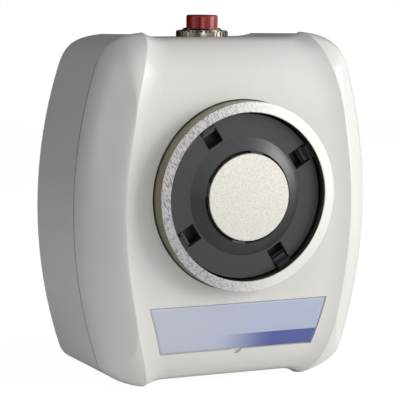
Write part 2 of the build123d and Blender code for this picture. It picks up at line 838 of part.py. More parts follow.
# Circuit board with its terminal block, screws and suppressor diode
with BuildPart() as circuit_board:
    with BuildSketch(upright(board_back_y)):
        with Locations((board_x, board_z)):
            Rectangle(board_width, board_height)
        with Locations(*board_screw_points):
            Circle(tapping_radius + hole_clearance, mode=Mode.SUBTRACT)
    extrude(amount=board_thickness)
save(circuit_board.part, "circuit_board")

block_front_y = board_front_y - block_depth
way_xs = [block_x + (way - (block_ways - 1) / 2) * block_pitch for way in range(block_ways)]
entry_y = board_front_y - block_entry_depth
screw_seat_y = block_front_y + block_screw_depth
with BuildPart() as terminal_block:
    with BuildSketch(upright(board_front_y)):
        with Locations((block_x, block_z)):
            Rectangle(block_pitch * block_ways, block_height)
    extrude(amount=block_depth)
    chamfer(terminal_block.edges().filter_by(Axis.X).group_by(Axis.Y)[0], block_bevel)
    with BuildSketch(upright(block_front_y)):
        with Locations(*[(x, block_z) for x in way_xs]):
            Circle(terminal_radius)
    extrude(amount=-block_screw_depth, mode=Mode.SUBTRACT)
    with BuildSketch(Plane.XY.offset(block_z + block_height / 2)):
        with Locations(*[(x, entry_y) for x in way_xs]):
            Circle(entry_radius)
    extrude(amount=-block_height / 2, mode=Mode.SUBTRACT)
save(terminal_block.part, "terminal_block")

with BuildPart() as terminal_screw:
    Cylinder(terminal_radius - hole_clearance, terminal_screw_height, align=(Align.CENTER, Align.CENTER, Align.MIN))
    with Locations((0, 0, terminal_screw_height)):
        Box(2 * terminal_radius, blade_thickness, terminal_radius, mode=Mode.SUBTRACT)
terminal_screws = Compound(children=[
    terminal_screw.part.moved(along_y(x, screw_seat_y, block_z, -1)) for x in way_xs
])
save(terminal_screws, "terminal_screws")

diode_x = (block_x + block_pitch * block_ways / 2 + board_screw_points[1][0] - head_radius) / 2
with BuildPart() as suppressor_diode:
    with BuildSketch(Plane.XY.offset(board_z - diode_length / 2)):
        with Locations((diode_x, board_front_y - diode_radius)):
            Circle(diode_radius)
    extrude(amount=diode_length)
save(suppressor_diode.part, "suppressor_diode")


def lead(points, name):
    """Insulated wire along straight runs joined by arcs."""
    runs = [Vector(*b) - Vector(*a) for a, b in zip(points, points[1:])]
    radii = []
    for before, after in zip(runs, runs[1:]):
        turn = radians(before.get_angle(after))
        radii.append(lead_bend * min(before.length, after.length) / (sin(turn / 2) / cos(turn / 2)))
    with BuildPart() as wire:
        with BuildLine():
            route = FilletPolyline(*points, radius=radii)
        with BuildSketch(Plane(origin=route @ 0, z_dir=route % 0)):
            Circle(lead_radius)
        sweep()
    section = pi * lead_radius ** 2
    print(name, "length", round(route.length, 1), "volume share", round(wire.part.volume / section / route.length, 4),
          "radii", [round(radius, 1) for radius in radii])
    save(wire.part, name)


# Leads from the coil and the switch down to the terminal block
entry_z = block_z + block_height / 2 - entry_radius
turn_z = block_z + lead_turn_height
lift_z = turn_z + coil_lead_rise
coil_start_y = pot_back_y - pot_floor - flange_thickness + slip
coil_turn_y = strap_back_y + coil_lead_drop - strap_thickness
for name, (x, z), way_x in (("coil_lead_left", lead_points[0], way_xs[1]), ("coil_lead_right", lead_points[1], way_xs[2])):
    shifted_x = x + coil_lead_share * (way_x - x)
    lead([
        (x, coil_start_y, z), (x, coil_turn_y, z), (shifted_x, entry_y - coil_lead_rise, lift_z),
        (way_x, entry_y, turn_z), (way_x, entry_y, entry_z),
    ], name)
blade_end = switch_low - blade_tail
lane_y = entry_y + lead_step
for name, side, way_x in (("switch_lead_left", -1, way_xs[0]), ("switch_lead_right", 1, way_xs[3])):
    blade_x = side * blade_half_spacing
    lane_x = side * switch_lead_side
    lead([
        (blade_x, button_y, blade_end), (blade_x, button_y, blade_end - switch_lead_drop),
        (lane_x, lane_y, blade_end - switch_lead_shoulder), (lane_x, lane_y, turn_z + switch_lead_low - lead_turn_height),
        (way_x + side * lead_step, entry_y, lift_z), (way_x, entry_y, entry_z),
    ], name)
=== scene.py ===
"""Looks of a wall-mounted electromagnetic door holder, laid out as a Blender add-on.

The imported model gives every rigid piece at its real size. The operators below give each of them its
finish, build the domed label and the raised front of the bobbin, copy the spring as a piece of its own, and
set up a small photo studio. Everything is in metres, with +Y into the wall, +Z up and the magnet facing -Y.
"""

from math import cos, pi, radians, sin, sqrt

import bmesh
import bpy
from bpy.props import FloatProperty, FloatVectorProperty, PointerProperty
from mathutils import Matrix, Vector
from mathutils.bvhtree import BVHTree


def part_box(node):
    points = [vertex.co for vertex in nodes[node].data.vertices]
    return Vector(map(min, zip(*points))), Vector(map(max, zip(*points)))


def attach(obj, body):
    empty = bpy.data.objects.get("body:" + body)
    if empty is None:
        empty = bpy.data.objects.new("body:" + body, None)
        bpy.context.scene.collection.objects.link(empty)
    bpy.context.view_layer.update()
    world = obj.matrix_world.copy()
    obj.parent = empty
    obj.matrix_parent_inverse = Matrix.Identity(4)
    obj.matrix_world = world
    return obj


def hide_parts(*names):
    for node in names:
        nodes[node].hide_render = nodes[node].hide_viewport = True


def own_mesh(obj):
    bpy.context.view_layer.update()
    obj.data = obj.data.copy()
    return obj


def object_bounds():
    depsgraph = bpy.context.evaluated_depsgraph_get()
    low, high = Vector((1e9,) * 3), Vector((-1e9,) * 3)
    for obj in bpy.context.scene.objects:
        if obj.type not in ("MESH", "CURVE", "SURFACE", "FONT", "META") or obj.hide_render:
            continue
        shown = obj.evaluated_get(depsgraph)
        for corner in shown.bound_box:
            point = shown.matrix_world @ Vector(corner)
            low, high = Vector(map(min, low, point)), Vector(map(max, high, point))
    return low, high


bl_info = {
    "name": "Magnetic door holder looks",
    "version": (1, 0, 0),
    "blender": (4, 5, 0),
    "location": "View3D > Sidebar > Door Holder",
    "description": "Finishes, label and studio for a wall-mounted magnetic door holder",
    "category": "Object",
}

MM = 0.001
HOLDER = "holder"

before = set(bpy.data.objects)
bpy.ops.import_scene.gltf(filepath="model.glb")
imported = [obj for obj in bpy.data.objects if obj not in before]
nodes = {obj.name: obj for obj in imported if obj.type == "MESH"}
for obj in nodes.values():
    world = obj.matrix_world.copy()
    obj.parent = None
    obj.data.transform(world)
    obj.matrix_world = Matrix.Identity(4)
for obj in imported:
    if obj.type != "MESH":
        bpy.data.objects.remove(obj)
cad_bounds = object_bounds()


# Colours and nodes
def linear(hex_colour, alpha=1.0):
    """Linear colour with alpha from an sRGB hex value such as "#E3E1DB"."""
    channels = []
    for start in (1, 3, 5):
        value = int(hex_colour[start:start + 2], 16) / 255
        channels.append(value / 12.92 if value <= 0.04045 else ((value + 0.055) / 1.055) ** 2.4)
    return (*channels, alpha)


def scale_for(size_mm):
    """Texture scale whose features are about size_mm across, for coordinates in metres."""
    return 1.0 / (size_mm * MM)


def add_node(tree, kind, inputs=None, **settings):
    """Add a node, set its attributes, and set or link its inputs, which are given by name or number."""
    made = tree.nodes.new(kind)
    for name, value in settings.items():
        setattr(made, name, value)
    for name, value in (inputs or {}).items():
        if isinstance(value, bpy.types.NodeSocket):
            tree.links.new(value, made.inputs[name])
        else:
            made.inputs[name].default_value = value
    return made


def new_material(name):
    """Empty material with its output node, and the object's own coordinates in metres."""
    made = bpy.data.materials.new(name)
    made.use_nodes = True
    tree = made.node_tree
    tree.nodes.clear()
    place = add_node(tree, "ShaderNodeTexCoord").outputs["Object"]
    return made, tree, place


def finish_material(tree, shader):
    """Link a shader to the material's output."""
    add_node(tree, "ShaderNodeOutputMaterial", {"Surface": shader.outputs[0]})


def two_tone(tree, factor, low, high, low_at=0.0, high_at=1.0):
    """Colour that runs from low to high as factor goes from low_at to high_at."""
    ramp = add_node(tree, "ShaderNodeValToRGB", {"Fac": factor})
    ramp.color_ramp.elements[0].position = low_at
    ramp.color_ramp.elements[0].color = low
    ramp.color_ramp.elements[1].position = high_at
    ramp.color_ramp.elements[1].color = high
    return ramp.outputs["Color"]


def dress(material, slot, *names):
    """Give CAD nodes a material in place of the plain one. The slot is not used."""
    for name in names:
        mesh = nodes[name].data
        if not mesh.materials:
            mesh.materials.append(material)
        for index in range(len(mesh.materials)):
            mesh.materials[index] = material


def new_piece(name, mesh):
    """Object in the scene from a bmesh, which is freed."""
    bmesh.ops.recalc_face_normals(mesh, faces=mesh.faces)
    data = bpy.data.meshes.new(name)
    mesh.to_mesh(data)
    mesh.free()
    piece = bpy.data.objects.new(name, data)
    bpy.context.scene.collection.objects.link(piece)
    return piece


# Plastics and rubber
def moulded_white_abs(settings):
    """White ABS from a polished mould: gloss, a faint orange peel and a grey line of painted shade along
    the joint.
    """
    made, tree, place = new_material("moulded_white_abs")
    flow = add_node(tree, "ShaderNodeTexNoise", {"Vector": place, "Scale": scale_for(18), "Detail": 2.0})
    colour = two_tone(tree, flow.outputs["Fac"], linear("#DFDEDA"), linear("#E3E2DF"), 0.3, 0.7)
    # Painted shade: a grey line along the joint darkens it as the shade in its narrow gap would.
    depth = add_node(tree, "ShaderNodeSeparateXYZ", {0: place}).outputs["Y"]
    seam_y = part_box("rear_housing")[0].y + settings.seam_reach * MM
    off_seam = add_node(tree, "ShaderNodeMath", {0: depth, 1: seam_y}, operation="SUBTRACT").outputs[0]
    gap = add_node(tree, "ShaderNodeMath", {0: off_seam}, operation="ABSOLUTE").outputs[0]
    solid_share = 0.6  # of the line's width, the rest fades out
    joint_shade = add_node(tree, "ShaderNodeMapRange", {
        "Value": gap, "From Min": settings.seam_width * MM * solid_share,
        "From Max": settings.seam_width * MM, "To Min": 1.0, "To Max": 0.0,
    }).outputs["Result"]
    colour = add_node(tree, "ShaderNodeMix", {"Factor": joint_shade, "A": colour, "B": linear("#A09E9A")},
                      data_type="RGBA").outputs["Result"]
    peel = add_node(tree, "ShaderNodeTexNoise", {"Vector": place, "Scale": scale_for(2.2), "Detail": 1.0})
    bump = add_node(tree, "ShaderNodeBump", {"Height": peel.outputs["Fac"], "Strength": 0.12,
                                             "Distance": 0.02 * MM})
    shader = add_node(tree, "ShaderNodeBsdfPrincipled", {
        "Base Color": colour, "Roughness": settings.gloss_roughness, "IOR": 1.53,
        "Normal": bump.outputs["Normal"],
    })
    finish_material(tree, shader)
    return made


def moulded_black_nylon():
    """Glass-filled nylon: black with a broad soft sheen and a fine grain from the glass."""
    made, tree, place = new_material("moulded_black_nylon")
    glass = add_node(tree, "ShaderNodeTexNoise", {"Vector": place, "Scale": scale_for(0.5), "Detail": 3.0})
    colour = two_tone(tree, glass.outputs["Fac"], linear("#29292C"), linear("#353539"), 0.3, 0.7)
    bump = add_node(tree, "ShaderNodeBump", {"Height": glass.outputs["Fac"], "Strength": 0.25,
                                             "Distance": 0.03 * MM})
    shader = add_node(tree, "ShaderNodeBsdfPrincipled", {
        "Base Color": colour, "Roughness": 0.34, "IOR": 1.6, "Normal": bump.outputs["Normal"],
    })
    finish_material(tree, shader)
    return made


def moulded_red_abs(settings):
    """Red ABS, gloss: a deep red that goes almost black away from the light."""
    made, tree, place = new_material("moulded_red_abs")
    flow = add_node(tree, "ShaderNodeTexNoise", {"Vector": place, "Scale": scale_for(3), "Detail": 2.0})
    flow_depth = 0.85  # how dark the flow marks are against the rest
    deep = tuple(flow_depth * channel for channel in settings.cap_colour[:3]) + (1.0,)
    colour = two_tone(tree, flow.outputs["Fac"], deep, tuple(settings.cap_colour), 0.3, 0.7)
    shader = add_node(tree, "ShaderNodeBsdfPrincipled", {
        "Base Color": colour, "Roughness": 0.24, "IOR": 1.46,
    })
    finish_material(tree, shader)
    return made


def plain_plastic(name, low, high, roughness, grain_mm):
    """Moulded plastic or rubber in one colour, with a fine mould texture."""
    made, tree, place = new_material(name)
    grain = add_node(tree, "ShaderNodeTexNoise", {
        "Vector": place, "Scale": scale_for(grain_mm), "Detail": 3.0,
    })
    colour = two_tone(tree, grain.outputs["Fac"], linear(low), linear(high), 0.3, 0.7)
    bump = add_node(tree, "ShaderNodeBump", {"Height": grain.outputs["Fac"], "Strength": 0.2,
                                             "Distance": 0.02 * MM})
    shader = add_node(tree, "ShaderNodeBsdfPrincipled", {
        "Base Color": colour, "Roughness": roughness, "Normal": bump.outputs["Normal"],
    })
    finish_material(tree, shader)
    return made


# Metals
def ground_steel_pot(settings):
    """Zinc-plated steel cup: olive grey walls, and a rim ground bright with slanting marks.

    The rim's colour holds painted light: bright on its right, where the light falls, and greyer on its
    shaded left. The marks show only on that left, and are round pits on its lower part.
    """
    made, tree, place = new_material("ground_steel_pot")
    turned = add_node(tree, "ShaderNodeMapping", {
        "Vector": place, "Rotation": (0.0, radians(settings.streak_angle), 0.0),
    })
    stretched = add_node(tree, "ShaderNodeMapping", {
        "Vector": turned.outputs["Vector"], "Scale": (1.0, 1.0, 0.3),
    })
    streaks = add_node(tree, "ShaderNodeTexNoise", {
        "Vector": stretched.outputs["Vector"], "Scale": scale_for(settings.streak_spacing), "Detail": 2.0,
        "Roughness": 0.6,
    })
    pits = add_node(tree, "ShaderNodeTexNoise", {
        "Vector": place, "Scale": scale_for(0.6), "Detail": 3.0, "Roughness": 0.7,
    })
    patches = add_node(tree, "ShaderNodeTexNoise", {"Vector": place, "Scale": scale_for(6), "Detail": 2.0})
    parts = add_node(tree, "ShaderNodeSeparateXYZ", {0: place})
    # Painted light and shade: this mask makes the rim bright on the right, where the light falls, and
    # greyer with marks on the shaded left.
    left = add_node(tree, "ShaderNodeMapRange", {
        "Value": parts.outputs["X"], "From Min": -20 * MM, "From Max": 12 * MM,
        "To Min": 1.0, "To Max": 0.0,
    }, interpolation_type="SMOOTHSTEP").outputs["Result"]
    low = add_node(tree, "ShaderNodeMapRange", {
        "Value": parts.outputs["Z"], "From Min": -12 * MM, "From Max": 2 * MM,
        "To Min": 1.0, "To Max": 0.0,
    }, interpolation_type="SMOOTHSTEP").outputs["Result"]
    rough = add_node(tree, "ShaderNodeMix", {
        0: low, 2: streaks.outputs["Fac"], 3: pits.outputs["Fac"],
    }).outputs[0]
    mark = add_node(tree, "ShaderNodeMapRange", {
        "Value": rough, "From Min": 0.48, "From Max": 0.6, "To Min": 0.0, "To Max": 1.0,
    }).outputs["Result"]
    marks = add_node(tree, "ShaderNodeMath", {0: mark, 1: left}, operation="MULTIPLY")
    # Painted highlight on the rim's right and painted shade on its left.
    field = two_tone(tree, left, linear("#F2F0EC"), linear("#C1BEC1"))
    rim = add_node(tree, "ShaderNodeMix", {"Factor": marks.outputs[0], "A": field, "B": linear("#858186")},
                   data_type="RGBA").outputs["Result"]
    wall = two_tone(tree, patches.outputs["Fac"], linear("#8A8471"), linear("#A09A88"), 0.3, 0.7)
    normal = add_node(tree, "ShaderNodeTexCoord").outputs["Normal"]
    facing = add_node(tree, "ShaderNodeSeparateXYZ", {0: normal}).outputs["Y"]
    towards_door = -0.6  # Y of a normal that belongs to the rim and not to the walls
    is_rim = add_node(tree, "ShaderNodeMath", {0: facing, 1: towards_door},
                      operation="LESS_THAN").outputs[0]
    colour = add_node(tree, "ShaderNodeMix", {"Factor": is_rim, "A": wall, "B": rim}, data_type="RGBA")
    roughness = add_node(tree, "ShaderNodeMapRange", {
        "Value": marks.outputs[0], "To Min": 0.34, "To Max": 0.5,
    })
    bump = add_node(tree, "ShaderNodeBump", {"Height": rough, "Strength": 0.25, "Distance": 0.03 * MM})
    shader = add_node(tree, "ShaderNodeBsdfPrincipled", {
        "Base Color": colour.outputs["Result"], "Metallic": 1.0, "Roughness": roughness.outputs["Result"],
        "Normal": bump.outputs["Normal"],
    })
    finish_material(tree, shader)
    return made


def ground_steel_core():
    """Nickel-plated steel pole face: very pale, with the fine matt grain of grinding."""
    made, tree, place = new_material("ground_steel_core")
    grain = add_node(tree, "ShaderNodeTexNoise", {
        "Vector": place, "Scale": scale_for(0.45), "Detail": 4.0, "Roughness": 0.7,
    })
    colour = two_tone(tree, grain.outputs["Fac"], linear("#CCC9C2"), linear("#E6E3DE"), 0.35, 0.65)
    bump = add_node(tree, "ShaderNodeBump", {"Height": grain.outputs["Fac"], "Strength": 0.3,
                                             "Distance": 0.02 * MM})
    shader = add_node(tree, "ShaderNodeBsdfPrincipled", {
        "Base Color": colour, "Metallic": 1.0, "Roughness": 0.42, "Normal": bump.outputs["Normal"],
    })
    finish_material(tree, shader)
    return made


def plated_metal(name, low, high, roughness, grain_mm):
    """Plated or bare metal with slight clouding."""
    made, tree, place = new_material(name)
    cloud = add_node(tree, "ShaderNodeTexNoise", {
        "Vector": place, "Scale": scale_for(grain_mm), "Detail": 3.0,
    })
    colour = two_tone(tree, cloud.outputs["Fac"], linear(low), linear(high), 0.3, 0.7)
    spread = add_node(tree, "ShaderNodeMapRange", {
        "Value": cloud.outputs["Fac"], "To Min": roughness * 0.8, "To Max": roughness * 1.2,
    })
    shader = add_node(tree, "ShaderNodeBsdfPrincipled", {
        "Base Color": colour, "Metallic": 1.0, "Roughness": spread.outputs["Result"],
    })
    finish_material(tree, shader)
    return made


def wound_copper():
    """Enamelled copper winding: amber copper with the ridges of 0.5 mm wire."""
    made, tree, place = new_material("wound_copper")
    turns = add_node(tree, "ShaderNodeTexWave", {"Vector": place, "Scale": scale_for(0.5) / (2 * pi)},
                     wave_type="BANDS", bands_direction="Y")
    colour = two_tone(tree, turns.outputs["Fac"], linear("#6E3A1E"), linear("#B86E3C"))
    bump = add_node(tree, "ShaderNodeBump", {"Height": turns.outputs["Fac"], "Strength": 0.6,
                                             "Distance": 0.1 * MM})
    shader = add_node(tree, "ShaderNodeBsdfPrincipled", {
        "Base Color": colour, "Metallic": 0.9, "Roughness": 0.3, "Normal": bump.outputs["Normal"],
    })
    finish_material(tree, shader)
    return made


# The label
def printed_label(settings):
    """Vinyl print under clear resin: a pale lilac field, with a blue band that fades to the left."""
    made, tree, place = new_material("printed_label")
    parts = add_node(tree, "ShaderNodeSeparateXYZ", {0: place})
    low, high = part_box("label_plate")
    across = add_node(tree, "ShaderNodeMapRange", {
        "Value": parts.outputs["X"], "From Min": low.x, "From Max": high.x,
    }).outputs["Result"]
    upward = add_node(tree, "ShaderNodeMapRange", {
        "Value": parts.outputs["Z"], "From Min": low.z, "From Max": high.z,
    }).outputs["Result"]
    field = two_tone(tree, across, linear("#C3C6D6"), tuple(settings.field_colour), 0.0, 0.8)
    in_band = add_node(tree, "ShaderNodeMath", {0: upward, 1: settings.band_share}, operation="LESS_THAN")
    fade_start, fade_end = 0.35, 0.72  # shares of the label's width, from the left
    fade = add_node(tree, "ShaderNodeMapRange", {
        "Value": across, "From Min": fade_start, "From Max": fade_end,
    }, interpolation_type="SMOOTHSTEP").outputs["Result"]
    share = add_node(tree, "ShaderNodeMath", {0: in_band.outputs[0], 1: fade}, operation="MULTIPLY")
    colour = add_node(tree, "ShaderNodeMix", {
        "Factor": share.outputs[0], "A": field, "B": tuple(settings.band_colour),
    }, data_type="RGBA")
    shader = add_node(tree, "ShaderNodeBsdfPrincipled", {
        "Base Color": colour.outputs["Result"], "Roughness": 0.45, "Coat Weight": 1.0,
        "Coat Roughness": 0.06, "Coat IOR": 1.5,
    })
    finish_material(tree, shader)
    return made


def surface_depths(name):
    """Function that gives a node's front surface as y for a place x, z, all in metres."""
    mesh = nodes[name].data
    tree = BVHTree.FromPolygons([v.co for v in mesh.vertices], [p.vertices for p in mesh.polygons])
    start_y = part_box(name)[0].y - 10 * MM  # well in front of the node

    def front(x, z):
        hit = tree.ray_cast(Vector((x, start_y, z)), Vector((0, 1, 0)))[0]
        return None if hit is None else hit.y
    return front


def graded(length, edge, pitch):
    """Steps from 0 to length, close together near both ends where the edge is rounded."""
    shares = (0.0, 0.02, 0.08, 0.18, 0.32, 0.5, 0.72, 1.0)
    near = [edge * share for share in shares]
    count = max(1, round((length - 2 * edge) / pitch))
    middle = [edge + (length - 2 * edge) * step / count for step in range(1, count)]
    return near + middle + [length - value for value in reversed(near)]


def domed_label(settings):
    """Resin label that follows the cover, with rounded edges and a closed back."""
    front = surface_depths("label_plate")
    low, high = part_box("label_plate")
    height = high.z - low.z
    edge = settings.dome_edge * MM
    inset = 0.05 * MM  # keeps the mesh's rays on the plate
    bottom_half = max(v.co.x for v in nodes["label_plate"].data.vertices if v.co.z < low.z + inset)
    top_half = high.x
    rows = graded(height - 2 * inset, edge, settings.label_pitch * MM)
    columns = graded(1.0, edge / (2 * bottom_half), settings.label_pitch * MM / (2 * bottom_half))
    mesh = bmesh.new()
    grid = []
    for up in rows:
        z = low.z + inset + up
        half = bottom_half + (top_half - bottom_half) * (z - low.z) / height - inset
        line = []
        for share in columns:
            x = half * (2 * share - 1)
            reach = min(up, height - 2 * inset - up, 2 * half * min(share, 1 - share), edge)
            drop = settings.dome_rise * MM * (1 - sqrt(1 - (1 - reach / edge) ** 2))
            line.append(mesh.verts.new((x, front(x, z) + drop, z)))
        grid.append(line)
    for lower, upper in zip(grid, grid[1:]):
        for a, b, c, d in zip(lower, lower[1:], upper[1:], upper):
            mesh.faces.new((a, b, c, d))
    skirt = bmesh.ops.extrude_edge_only(mesh, edges=[e for e in mesh.edges if e.is_boundary])
    for vert in skirt["geom"]:
        if isinstance(vert, bmesh.types.BMVert):
            vert.co.y += settings.skirt_depth * MM
    bmesh.ops.contextual_create(mesh, geom=[e for e in mesh.edges if e.is_boundary])
    for face in mesh.faces:
        face.smooth = True
    return new_piece("label_resin", mesh)


# The front of the coil bobbin
def add_cone(mesh, place, settings):
    """Closed ring with a sloping face, whose inner edge reaches the core at four bridges."""
    turn_step, bridge_ramp, foot_inset = 2, 0.2, 0.5  # degrees, degrees and millimetres
    half = settings.bridge_span / 2
    turns = set(range(0, 360, turn_step))
    for quarter in range(4):
        middle = settings.bridge_angle + 90 * quarter
        for offset in (-half, -half + bridge_ramp, half - bridge_ramp, half):
            turns.add((middle + offset) % 360)
    rings = []
    for turn in sorted(turns):
        off_bridge = abs((turn - settings.bridge_angle + 45) % 90 - 45)
        on_bridge = off_bridge < half - bridge_ramp / 2
        inner = settings.bridge_reach if on_bridge else settings.cone_top - settings.cone_lip
        rings.append([place(radius, depth, turn) for radius, depth in (
            (inner, settings.cone_base),
            (inner, settings.cone_depth + settings.cone_lip),
            (settings.cone_top, settings.cone_depth),
            (settings.cone_foot, settings.flange_depth),
            (settings.cone_foot - foot_inset, settings.cone_base),
        )])
    sloping_face = 2  # of the outline's sides, the one that is seen and has soft shading
    for one, two in zip(rings, rings[1:] + rings[:1]):
        for index in range(len(one)):
            after = (index + 1) % len(one)
            face = mesh.faces.new((one[index], one[after], two[after], two[index]))
            face.smooth = index == sloping_face
            mesh.edges.get((one[index], two[index])).smooth = False


def add_clip_tips(mesh, place, settings):
    """Wedges on the ends of the four clips, which slope outwards from the core."""
    tuck = 0.05  # millimetres that the wedge reaches into the clip
    foot = settings.clip_depth + tuck
    inner, outer = settings.clip_outer - settings.clip_thick, settings.clip_outer
    outline = ((inner, foot), (inner, settings.clip_depth - settings.clip_rise),
               (outer, settings.clip_depth), (outer, foot))
    for quarter in range(4):
        angle = settings.clip_angle + 90 * quarter
        one, two = ([place(radius, depth, angle, aside) for radius, depth in outline]
                    for aside in (-settings.clip_width / 2, settings.clip_width / 2))
        mesh.faces.new(one)
        mesh.faces.new(list(reversed(two)))
        for index in range(4):
            after = (index + 1) % 4
            mesh.faces.new((one[index], two[index], two[after], one[after]))


def bobbin_front(settings):
    """Raised cone round the core, split from it by four arc slots, and the sloping tips of the clips."""
    low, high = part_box("pole_core")
    middle = (low + high) / 2
    mesh = bmesh.new()

    def place(radius, depth, turn, aside=0.0):
        """Vertex at a radius and a turn about the core, a depth behind its face and a length aside."""
        angle = radians(turn)
        x = radius * cos(angle) - aside * sin(angle)
        z = radius * sin(angle) + aside * cos(angle)
        return mesh.verts.new((middle.x + x * MM, low.y + depth * MM, middle.z + z * MM))

    add_cone(mesh, place, settings)
    add_clip_tips(mesh, place, settings)
    return new_piece("bobbin_front", mesh)


# The return spring
def pressed_spring(stroke_mm, material):
    """The CAD spring as a piece of its own with the given material, in place of the CAD node."""
    source = nodes["return_spring"]
    piece = bpy.data.objects.new("spring_coil", source.data.copy())
    piece.matrix_world = source.matrix_world
    piece.data.materials.clear()
    piece.data.materials.append(material)
    bpy.context.scene.collection.objects.link(piece)
    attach(piece, HOLDER)
    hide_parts("return_spring")
    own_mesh(piece)


# Settings
class HousingSettings(bpy.types.PropertyGroup):
    """Finish of the two white shells."""

    gloss_roughness: FloatProperty(
        name="Gloss roughness", description="Roughness of the polished ABS", default=0.3, min=0.0, max=1.0)
    seam_width: FloatProperty(
        name="Seam width", description="Half width of the grey line along the joint in millimetres",
        default=0.3, min=0.0)
    seam_reach: FloatProperty(
        name="Seam place", description="From the tray's tongue back to the joint in millimetres",
        default=2.0, min=0.0)


class MagnetSettings(bpy.types.PropertyGroup):
    """Finish of the steel rim."""

    streak_spacing: FloatProperty(
        name="Mark spacing", description="Spacing of the grinding marks in millimetres",
        default=0.42, min=0.1)
    streak_angle: FloatProperty(
        name="Mark angle", description="Slant of the grinding marks from upright in degrees", default=28.0)


class BobbinSettings(bpy.types.PropertyGroup):
    """Cone round the core and the tips of the clips.

    Lengths are in millimetres and angles in degrees from +X. Depths are measured from the core's face.
    """

    cone_top: FloatProperty(
        name="Cone top", description="Radius of the cone's top edge in millimetres", default=13.45)
    cone_foot: FloatProperty(
        name="Cone foot", description="Radius where the cone meets the flange in millimetres", default=17.2)
    cone_depth: FloatProperty(
        name="Cone depth", description="Depth of the cone's top edge in millimetres", default=1.0)
    cone_base: FloatProperty(
        name="Cone base", description="Depth of the cone's hidden foot in millimetres", default=4.5)
    cone_lip: FloatProperty(
        name="Cone lip", description="Width of the bevel along the slots in millimetres", default=0.15)
    flange_depth: FloatProperty(
        name="Flange depth", description="Depth of the flange in millimetres", default=2.99)
    bridge_reach: FloatProperty(
        name="Bridge reach", description="Radius that the bridges reach inwards in millimetres",
        default=12.72)
    bridge_angle: FloatProperty(
        name="Bridge angle", description="Angle of the first bridge in degrees", default=-12.0)
    bridge_span: FloatProperty(
        name="Bridge span", description="Angle that a bridge takes in degrees", default=18.0, min=1.0)
    clip_angle: FloatProperty(
        name="Clip angle", description="Angle of the first clip in degrees", default=32.0)
    clip_outer: FloatProperty(
        name="Clip radius", description="Outer radius of the clips in millimetres", default=24.2)
    clip_thick: FloatProperty(
        name="Clip thickness", description="Thickness of the clips in millimetres", default=1.6)
    clip_width: FloatProperty(
        name="Clip width", description="Width of the clips in millimetres", default=4.1)
    clip_depth: FloatProperty(
        name="Clip depth", description="Depth of the clips' outer edge in millimetres", default=2.2)
    clip_rise: FloatProperty(
        name="Clip rise", description="Rise of the tips towards the core in millimetres", default=0.8)


class ButtonSettings(bpy.types.PropertyGroup):
    """Finish of the release button."""

    cap_colour: FloatVectorProperty(
        name="Cap colour", description="Colour of the red cap", subtype="COLOR", size=4,
        default=linear("#921510"), min=0.0, max=1.0)
    stroke: FloatProperty(
        name="Stroke", description="How far the button goes down in millimetres", default=2.0, min=0.0)


class LabelSettings(bpy.types.PropertyGroup):
    """Size and colours of the label."""

    field_colour: FloatVectorProperty(
        name="Field colour", description="Pale colour of the label", subtype="COLOR", size=4,
        default=linear("#B4BBD6"), min=0.0, max=1.0)
    band_colour: FloatVectorProperty(
        name="Band colour", description="Colour of the band", subtype="COLOR", size=4,
        default=linear("#4A57A0"), min=0.0, max=1.0)
    band_share: FloatProperty(
        name="Band share", description="Share of the label's height that the band takes", default=0.33)
    dome_edge: FloatProperty(
        name="Edge width", description="Width of the rounded edge in millimetres", default=0.8, min=0.1)
    dome_rise: FloatProperty(
        name="Dome rise", description="How far the face stands above its edge in millimetres",
        default=0.3, min=0.0)
    skirt_depth: FloatProperty(
        name="Edge height", description="Height of the edge below the rounding in millimetres", default=0.1)
    label_pitch: FloatProperty(
        name="Mesh pitch", description="Spacing of the label's mesh in millimetres", default=1.2, min=0.3)


class StageSettings(bpy.types.PropertyGroup):
    """Studio light and floor."""

    ambient: FloatProperty(name="Ambient", description="World light on the object", default=0.5, min=0.0)
    key_power: FloatProperty(name="Key power", description="Key lamp in watts", default=7.0, min=0.0)
    fill_power: FloatProperty(name="Fill power", description="Fill lamp in watts", default=1.8, min=0.0)
    low_power: FloatProperty(
        name="Low fill power", description="Low front lamp in watts", default=1.2, min=0.0)
    floor_drop: FloatProperty(
        name="Floor drop", description="Gap between the object and the floor in millimetres", default=0.0)
    floor_glow: FloatProperty(
        name="Floor glow", description="White level that the floor shows to the camera",
        default=1.08, min=0.0)
    glow_share: FloatProperty(
        name="Glow share", description="Share of the floor's look that is glow and shows no shadow",
        default=0.9, min=0.0, max=1.0)


# Operators
class HOLDER_OT_housing(bpy.types.Operator):
    """Give the rear housing and the front cover their moulded finish"""

    bl_idname = "holder.housing"
    bl_label = "Housing"

    def execute(self, context):
        finish = moulded_white_abs(context.scene.holder_housing)
        dress(finish, "housing_abs", "rear_housing", "front_cover")
        return {"FINISHED"}


class HOLDER_OT_label(bpy.types.Operator):
    """Build the domed label in the cover's recess"""

    bl_idname = "holder.label"
    bl_label = "Label"

    def execute(self, context):
        settings = context.scene.holder_label
        piece = domed_label(settings)
        piece.data.materials.append(printed_label(settings))
        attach(piece, HOLDER)
        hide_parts("label_plate")
        return {"FINISHED"}


class HOLDER_OT_magnet(bpy.types.Operator):
    """Finish the pot, the core and the coil"""

    bl_idname = "holder.magnet"
    bl_label = "Magnet"

    def execute(self, context):
        dress(ground_steel_pot(context.scene.holder_magnet), "pot_steel", "magnet_pot")
        dress(ground_steel_core(), "core_steel", "pole_core")
        dress(wound_copper(), "copper_wire", "coil_winding")
        dress(plain_plastic("polyester_tape", "#121212", "#1C1C1C", 0.35, 0.4), "coil_tape", "coil_wrap")
        return {"FINISHED"}


class HOLDER_OT_bobbin(bpy.types.Operator):
    """Finish the bobbin and build its raised front round the core"""

    bl_idname = "holder.bobbin"
    bl_label = "Bobbin"

    def execute(self, context):
        nylon = moulded_black_nylon()
        dress(nylon, "black_nylon", "coil_bobbin")
        front = bobbin_front(context.scene.holder_bobbin)
        front.data.materials.append(nylon)
        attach(front, HOLDER)
        return {"FINISHED"}


